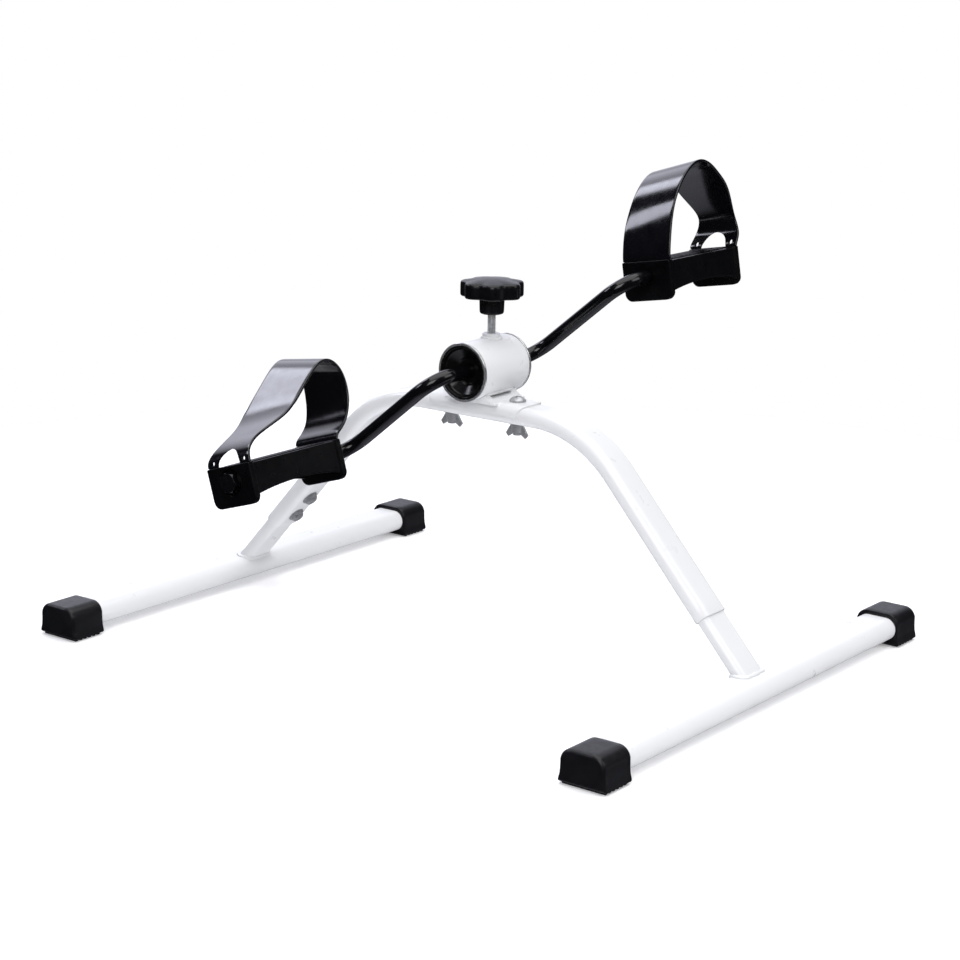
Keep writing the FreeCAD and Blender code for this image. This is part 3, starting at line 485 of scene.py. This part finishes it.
def build_boss():
    """Boss for the tension screw with the weld round its foot."""
    centre = Vector((0, KNOB_Y, SHAFT_Z))
    foot, bore = 19.2, SCREW_RADIUS + RUNNING_GAP
    shell = Shell()
    profile = [(bore, foot), (BOSS_RADIUS, foot), (BOSS_RADIUS, BOSS_TOP), (bore, BOSS_TOP)]
    lathe(shell, rounded(profile, [0, 0, 0.7, 0.4]), centre, UP, segments=64)
    settle(shell.object("boss"), "frame", "white_powder_coat", "screw_boss")
    curve, count = [], 72
    for k in range(count):
        angle = 2 * math.pi * k / count
        x, y = BOSS_RADIUS * math.cos(angle), BOSS_RADIUS * math.sin(angle)
        point = centre + Vector((x, y, math.sqrt(HOUSING_RADIUS ** 2 - x ** 2)))
        curve.append((point, Vector((x, y, 0)).normalized()))
    shell = Shell()
    bead(shell, curve, 1.3, pitch=1.6, segments=10)
    settle(shell.object("boss_weld"), "frame", "white_powder_coat")


def build_housing_welds():
    """Two welds along the housing, where it sits in the bracket's cradle."""
    out, reach, radius, scale_pitch, count = 13.6, 15.5, 1.5, 2.0, 40
    for name, end in ENDS.items():
        x = end * out
        z = SHAFT_Z - math.sqrt(HOUSING_RADIUS ** 2 - x ** 2)
        rings = []
        for k in range(count + 1):
            y = -reach + 2 * reach * k / count
            taper = min(1.0, (1.05 - abs(y) / reach) * 4)
            wobble = 0.2 * noise.noise(Vector((x, y, 0)) * 0.4)
            size = radius * taper * (1 - 0.2 * ((y / scale_pitch) % 1.0) ** 2 + wobble)
            rings.append([Vector((x + size * math.cos(a), y, z + size * math.sin(a)))
                          for a in (2 * math.pi * j / 12 for j in range(12))])
        shell = Shell()
        shell.loft(rings)
        settle(shell.object(name + "_cradle_weld"), "frame", "white_powder_coat")


build_housing()
build_boss()
build_housing_welds()
moulded("bracket", "saddle_bracket", 0.4, 6, "frame", "white_powder_coat", keep=0.4)
moulded("bolts", "bracket_bolts", 0.22, 4, "frame", "zinc")
moulded("wing_nuts", "bracket_wing_nuts", 0.22, 5, "frame", "zinc")
moulded("leg_bolts", "leg_screws", 0.22, 4, "frame", "dark_zinc")


# ---------------------------------------------------------------- knob and screw
def build_screw():
    """Tension screw, threaded along its whole length, with a chamfered foot."""
    pitch, depth, per_turn, segments, chamfer = 1.0, 0.45, 8, 36, 1.0
    bottom, top = 14.5, KNOB_BOTTOM + 5.5
    count = int((top - bottom) / pitch * per_turn)
    rings = [[Vector((0, KNOB_Y, SHAFT_Z + bottom))] * segments]
    for j in range(count + 1):
        z = bottom + (top - bottom) * j / count
        ring = []
        for k in range(segments):
            angle = 2 * math.pi * k / segments
            phase = (z / pitch - k / segments) % 1.0
            radius = SCREW_RADIUS - depth * abs(2 * phase - 1)
            if z - bottom < chamfer:
                radius = min(radius, SCREW_RADIUS - chamfer + (z - bottom))
            ring.append(Vector((radius * math.cos(angle), KNOB_Y + radius * math.sin(angle), SHAFT_Z + z)))
        rings.append(ring)
    shell = Shell()
    shell.loft(rings)
    settle(shell.object("thread"), "knob", "zinc", "tension_screw", sharp=70)


def build_knob():
    """Seven-lobed hand knob: hub, hollowed underside, lobed rim and a shallow crown."""
    segments, flute = KNOB_LOBES * 20, 1.55
    base = Vector((0, KNOB_Y, SHAFT_Z))

    def ring(radius, z, lobed):
        points = []
        for k in range(segments):
            angle = 2 * math.pi * k / segments
            wave = math.cos(KNOB_LOBES * angle)
            reach = radius + flute * (wave + 0.18 * (1 - wave ** 2)) * lobed
            points.append(base + Vector((reach * math.cos(angle), reach * math.sin(angle), z)))
        return points

    rim = KNOB_RADIUS - flute
    shoulder, shoulder_z, shoulder_lobed = rim - 3.2, KNOB_TOP + 0.35, 0.7
    stations = [(3.05, HUB_BOTTOM + 0.4, 0), (4.6, HUB_BOTTOM, 0), (HUB_RADIUS - 1.6, HUB_BOTTOM, 0),
                (HUB_RADIUS - 0.5, HUB_BOTTOM + 0.5, 0), (HUB_RADIUS, HUB_BOTTOM + 1.6, 0),
                (HUB_RADIUS + 0.35, KNOB_BOTTOM - 0.6, 0), (HUB_RADIUS + 0.9, KNOB_BOTTOM + 0.9, 0),
                (HUB_RADIUS + 2.0, KNOB_BOTTOM + 1.5, 0), (rim - 4.2, KNOB_BOTTOM + 1.5, 0.5),
                (rim - 3.2, KNOB_BOTTOM + 1.2, 0.6), (rim - 2.6, KNOB_BOTTOM + 0.3, 0.7),
                (rim - 1.8, KNOB_BOTTOM, 0.8), (rim - 0.7, KNOB_BOTTOM + 0.15, 0.95),
                (rim - 0.1, KNOB_BOTTOM + 0.9, 1)]
    stations += [(rim, KNOB_BOTTOM + 2 + 1.5 * k, 1) for k in range(5)]
    stations += [(rim - 0.15, KNOB_TOP - 1.3, 1), (rim - 0.6, KNOB_TOP - 0.5, 1),
                 (rim - 1.5, KNOB_TOP, 0.95), (shoulder, shoulder_z, shoulder_lobed)]
    crown_rings = 8
    for k in range(1, crown_rings):
        share = 1 - k / crown_rings
        stations.append((shoulder * share, KNOB_CROWN - (KNOB_CROWN - shoulder_z) * share ** 2,
                         shoulder_lobed * share ** 2))
    shell = Shell()
    rings = [ring(*station) for station in stations]
    rings.append([base + UP * KNOB_CROWN] * segments)
    shell.loft(rings)
    settle(shell.object("knob"), "knob", "black_knob", "tension_knob", sharp=50)


build_screw()
build_knob()


# ---------------------------------------------------------------- crank
def build_rod():
    """The bent rod, stepped down at both tips."""
    step, tip, tip_radius, chamfer = PEDAL_START + 70.0, PEDAL_START + 95.75, 4.0, 0.6
    segments = 40

    def axle(side, y):
        return Vector((side * CRANK_X, y, SHAFT_Z + side * CRANK_Z))

    def circle(centre, direction, across, radius):
        third = direction.cross(across)
        return [centre + (across * math.cos(a) + third * math.sin(a)) * radius
                for a in (2 * math.pi * k / segments for k in range(segments))]

    corners = [axle(-1, -step), axle(-1, -ARM_Y), Vector((0, -ARM_Y, SHAFT_Z)), Vector((0, ARM_Y, SHAFT_Z)),
               axle(1, ARM_Y), axle(1, step)]
    path = rounded_path(corners, ROD_BEND, arc_steps=20, run_step=8)
    across = path[0][1].orthogonal().normalized()
    start, finish = axle(-1, -tip), axle(1, tip)
    rings = []
    for centre, direction in path:
        across = (across - direction * across.dot(direction)).normalized()
        if not rings:
            rings = [circle(start, direction, across, tip_radius - chamfer),
                     circle(start + direction * chamfer, direction, across, tip_radius),
                     circle(centre, direction, across, tip_radius)]
        rings.append(circle(centre, direction, across, ROD_RADIUS))
    rings += [circle(centre, direction, across, tip_radius),
              circle(finish - direction * chamfer, direction, across, tip_radius),
              circle(finish, direction, across, tip_radius - chamfer)]
    shell = Shell()
    shell.loft(rings)
    settle(shell.object("rod"), "crank", "black_enamel", "crank_rod")


build_rod()
moulded("lock_nuts", "axle_lock_nuts", 0.2, 3, "crank", "black_enamel")


# ---------------------------------------------------------------- pedals
def pedal_point(name, u, v, w):
    """Millimetres in the row frame for a point in a pedal's own (u, v, w) axes."""
    side, pitch = SIDES[name], PITCH[name]
    return Vector((side * CRANK_X + u * math.cos(pitch) - w * math.sin(pitch),
                   side * (PEDAL_START + v),
                   SHAFT_Z + side * CRANK_Z + u * math.sin(pitch) + w * math.cos(pitch)))


def smooth_step(t):
    """Rises from 0 to 1 without a corner as t goes from 0 to 1."""
    t = min(max(t, 0.0), 1.0)
    return t * t * (3 - 2 * t)


def strap_line(name, step=0.8, floor=2.0):
    """Evenly spaced (v, w) points and directions along the strap, from slot to slot."""
    inner, outer = END_PLATE / 2, PEDAL_LENGTH - END_PLATE / 2
    knots = [Vector((inner, PLATE_TOP))] + [Vector(knot) for knot in STRAP_LINES[name]]
    knots.append(Vector((outer, PLATE_TOP)))
    spans = [(b - a).length for a, b in zip(knots, knots[1:])]
    slopes = [(knots[k + 1] - knots[k - 1]) / (spans[k - 1] + spans[k]) for k in range(1, len(spans))]
    slopes = [Vector((0, 1))] + slopes + [Vector((0, -1))]
    legs = [PLATE_TOP + (floor - PLATE_TOP) * k / 20 for k in range(21)]
    dense = [Vector((inner, w)) for w in reversed(legs[1:])]
    for k, span in enumerate(spans):
        for j in range(16):
            t = j / 16
            dense.append(knots[k] * (2 * t ** 3 - 3 * t ** 2 + 1)
                         + slopes[k] * (span * (t ** 3 - 2 * t ** 2 + t))
                         + knots[k + 1] * (3 * t ** 2 - 2 * t ** 3)
                         + slopes[k + 1] * (span * (t ** 3 - t ** 2)))
    dense += [Vector((outer, w)) for w in legs]
    for _ in range(40):
        middle = [a.lerp(c, 0.5) for a, c in zip(dense, dense[2:])]
        dense = dense[:1] + [b.lerp(m, 0.5) for b, m in zip(dense[1:-1], middle)] + dense[-1:]
    lengths = [0.0]
    for a, b in zip(dense, dense[1:]):
        lengths.append(lengths[-1] + (b - a).length)
    count, at, places = round(lengths[-1] / step), 0, []
    for k in range(count + 1):
        distance = lengths[-1] * k / count
        while at < len(dense) - 2 and lengths[at + 1] < distance:
            at += 1
        places.append(dense[at].lerp(dense[at + 1],
                                     (distance - lengths[at]) / (lengths[at + 1] - lengths[at])))
    ends = [(places[max(k - 1, 0)], places[min(k + 1, count)]) for k in range(count + 1)]
    return [(place, (b - a).normalized()) for place, (a, b) in zip(places, ends)]


def strap_half_width(name, point, outer_end):
    """Half the strap's width: prongs in the slots, and a neck above the outer end's foot."""
    half = STRAP_WIDTH / 2
    if point.y < PLATE_TOP + 0.1:
        return PRONG_OUT
    if not outer_end:
        return half
    neck, full = STRAP_NECK[name]
    if point.y < neck:
        return half + (NECK_HALF - half) * smooth_step((point.y - STRAP_FOOT) / (neck - STRAP_FOOT))
    return NECK_HALF + (half - NECK_HALF) * smooth_step((point.y - neck) / (full - neck))


def strap_cutter(name):
    """Everything taken out of the flat band: the round hole, two eyes and the gaps below."""
    inner, outer = (-8, 12), (70, 115)
    below = [(-STRAP_HOLE, -4), (STRAP_HOLE, -4)]
    shell = Shell()

    def prism(outline, reach):
        shell.loft([[pedal_point(name, u, v, w) for u, w in outline] for v in reach])

    arch = [(STRAP_HOLE * math.cos(a), STRAP_HOLE_W + STRAP_HOLE * math.sin(a))
            for a in (math.pi * k / 40 for k in range(41))]
    prism(below + arch, outer)
    prism(below + [(STRAP_HOLE, TONGUE_FLOOR), (-STRAP_HOLE, TONGUE_FLOOR)], inner)
    for side in (-1, 1):
        eye = [(side * EYE_U + EYE_RADIUS * math.cos(a), EYE_W + EYE_RADIUS * math.sin(a))
               for a in (2 * math.pi * k / 20 for k in range(20))]
        prism(eye, outer)
    return shell.object(name + "_cutter")


def build_strap(name):
    """Moulded strap: a twisted band with rounded edges, necked and pierced at its outer end."""
    line = strap_line(name)
    crest = max(range(len(line)), key=lambda k: line[k][0].y)
    thick, edge, columns = STRAP_THICK / 2, 0.6, 16
    rings = []
    for k, (point, along) in enumerate(line):
        half = strap_half_width(name, point, k > crest)
        rise = smooth_step((point.y - TWIST_FROM) / (TWIST_TO - TWIST_FROM))
        flat = [half * (2 * j / columns - 1) for j in range(1, columns)]
        turn = [(edge * (1 - math.cos(a)), edge * (1 - math.sin(a)))
                for a in (math.pi / 2 * j / 4 for j in range(5))]
        right = [(half - across, -thick + down) for across, down in reversed(turn)]
        outline = [(u, -thick) for u in flat if abs(u) < half - edge] + right
        outline += [(u, -t) for u, t in reversed(right)]
        outline += [(-u, -t) for u, t in outline]
        ring = []
        for u, t in outline:
            drop = STRAP_TWIST[name] * rise * u / (STRAP_WIDTH / 2)
            ring.append(pedal_point(name, u, point.x - along.y * t, point.y + along.x * t - drop))
        rings.append(ring)
    shell = Shell()
    shell.loft(rings)
    band, cutter = shell.object(name + "_band_work"), strap_cutter(name)
    cut = band.modifiers.new("cut", "BOOLEAN")
    cut.operation, cut.solver, cut.object = "DIFFERENCE", "EXACT", cutter
    mesh = evaluated(band)
    bpy.data.objects.remove(cutter)
    settle(new_object(name + "_band", mesh), name + "_pedal", "black_strap", name + "_strap", sharp=40)


for name in SIDES:
    moulded(name + "_tread", name + "_pedal_body", 0.45, 5, name + "_pedal", "black_moulding",
            spin=PITCH[name], keep=0.35)
    build_strap(name)


# ---------------------------------------------------------------- carried-over CAD nodes
SLOTS = {entry["node"]: entry["material_slot"] for entry in frame["record"]["subparts"]}
# Blackened like the lock nuts beside them, where the record has zinc
SLOTS["axle_washers"] = "black_enamel"
for node, obj in frame["nodes"].items():
    obj.data.materials.clear()
    obj.data.materials.append(MATERIALS[SLOTS[node]])


# ---------------------------------------------------------------- floor, light and camera
def build_floor():
    """Round pale floor; it is bright to its edge, where the white surroundings take over."""
    radius, count = 0.8, 96
    angles = [2 * math.pi * k / count for k in range(count)]
    mesh = bpy.data.meshes.new("floor")
    mesh.from_pydata([(radius * math.cos(angle), radius * math.sin(angle), 0) for angle in angles],
                     [], [tuple(range(count))])
    floor = new_object("floor", mesh)
    made = bpy.data.materials.new("floor")
    made.use_nodes = True
    nodes, links = made.node_tree.nodes, made.node_tree.links
    shader = nodes["Principled BSDF"]
    shader.inputs["Roughness"].default_value = 0.5
    shader.inputs["Emission Color"].default_value = (1, 1, 1, 1)
    shader.inputs["Emission Strength"].default_value = 0.2
    place, cloud = nodes.new("ShaderNodeTexCoord"), nodes.new("ShaderNodeTexNoise")
    cloud.inputs["Scale"].default_value = 3.0
    ramp = nodes.new("ShaderNodeValToRGB")
    ramp.color_ramp.elements[0].color = (0.90, 0.90, 0.91, 1)
    ramp.color_ramp.elements[1].color = (0.93, 0.93, 0.935, 1)
    links.new(place.outputs["Object"], cloud.inputs["Vector"])
    links.new(cloud.outputs["Fac"], ramp.inputs["Fac"])
    links.new(ramp.outputs["Color"], shader.inputs["Base Color"])
    mesh.materials.append(made)
    floor.visible_glossy = False


def add_area(name, place, target, size, energy):
    """A square area light that faces `target`."""
    data = bpy.data.lights.new(name, "AREA")
    data.shape = "RECTANGLE"
    data.size, data.size_y = size, size
    data.energy = energy
    lamp = bpy.data.objects.new(name, data)
    bpy.context.scene.collection.objects.link(lamp)
    lamp.location = place
    direction = Vector(target) - Vector(place)
    lamp.rotation_euler = direction.to_track_quat("-Z", "Y").to_euler()


def build_light():
    """White surroundings; the object is lit by a dim room with soft boxes in it and three area lights."""
    world = bpy.data.worlds.new("studio")
    bpy.context.scene.world = world
    world.use_nodes = True
    nodes, links = world.node_tree.nodes, world.node_tree.links
    seen, lighting = nodes["Background"], nodes.new("ShaderNodeBackground")
    seen.inputs["Color"].default_value = (1, 1, 1, 1)
    place = nodes.new("ShaderNodeTexCoord")
    # azimuth and elevation of each soft box in degrees, its reach and its brightness
    boxes = [(169.5, 38, 2, 8, 7.5), (155, 29, 4, 22, 1.5), (207.5, 33.5, 6, 9, 9.5), (125, 18, 14, 42, 1.05),
             (300, 70, 15, 50, 0.3), (46, -12, 4, 16, 0.5), (0, -90, 12, 50, 0.8)]
    room, total = 0.03, None
    for azimuth, elevation, full, gone, level in boxes:
        a, e = math.radians(azimuth), math.radians(elevation)
        near = nodes.new("ShaderNodeVectorMath")
        near.operation = "DOT_PRODUCT"
        near.inputs[1].default_value = (math.cos(e) * math.cos(a), math.cos(e) * math.sin(a), math.sin(e))
        links.new(place.outputs["Generated"], near.inputs[0])
        fade = nodes.new("ShaderNodeMapRange")
        fade.interpolation_type = "SMOOTHSTEP"
        fade.inputs["From Min"].default_value = math.cos(math.radians(gone))
        fade.inputs["From Max"].default_value = math.cos(math.radians(full))
        fade.inputs["To Min"].default_value, fade.inputs["To Max"].default_value = 0.0, level
        links.new(near.outputs["Value"], fade.inputs["Value"])
        add = nodes.new("ShaderNodeMath")
        add.operation = "ADD"
        add.inputs[1].default_value = room
        links.new(fade.outputs["Result"], add.inputs[0])
        if total:
            links.new(total.outputs["Value"], add.inputs[1])
        total = add
    lighting.inputs["Color"].default_value = (0.86, 0.87, 1, 1)
    links.new(total.outputs["Value"], lighting.inputs["Strength"])
    path, mix = nodes.new("ShaderNodeLightPath"), nodes.new("ShaderNodeMixShader")
    links.new(path.outputs["Is Camera Ray"], mix.inputs["Fac"])
    links.new(lighting.outputs["Background"], mix.inputs[1])
    links.new(seen.outputs["Background"], mix.inputs[2])
    links.new(mix.outputs["Shader"], nodes["World Output"].inputs["Surface"])
    add_area("top_box", (0.15, 0.1, 2.0), (0.05, 0, 0), 2.4, 45)
    add_area("right_box", (1.8, 0.5, 1.2), (0, 0, 0.15), 1.0, 9.5)
    add_area("near_box", (0.9, -1.5, 1.2), (0, 0, 0.15), 1.0, 16)


def build_camera():
    """The viewing position solved for this object: long lens, from the right and a little above."""
    yaw, pitch, roll = math.radians(127.25), math.radians(14.11), math.radians(0.93)
    data = bpy.data.cameras.new("camera")
    data.sensor_width, data.lens = 36.0, 87.76
    data.clip_start, data.clip_end = 0.05, 50
    camera = bpy.data.objects.new("camera", data)
    bpy.context.scene.collection.objects.link(camera)
    forward = Vector((math.cos(yaw) * math.cos(pitch), math.sin(yaw) * math.cos(pitch), -math.sin(pitch)))
    right = Vector((math.sin(yaw), -math.cos(yaw), 0))
    up = right.cross(forward)
    leaned_right = right * math.cos(roll) + up * math.sin(roll)
    leaned_up = up * math.cos(roll) - right * math.sin(roll)
    turn = Matrix((leaned_right, leaned_up, -forward)).transposed()
    camera.matrix_world = Matrix.Translation((0.9757, -1.2871, 0.5225)) @ turn.to_4x4()
    bpy.context.scene.camera = camera


build_floor()
build_light()
build_camera()
bpy.context.scene.view_settings.view_transform = "Standard"
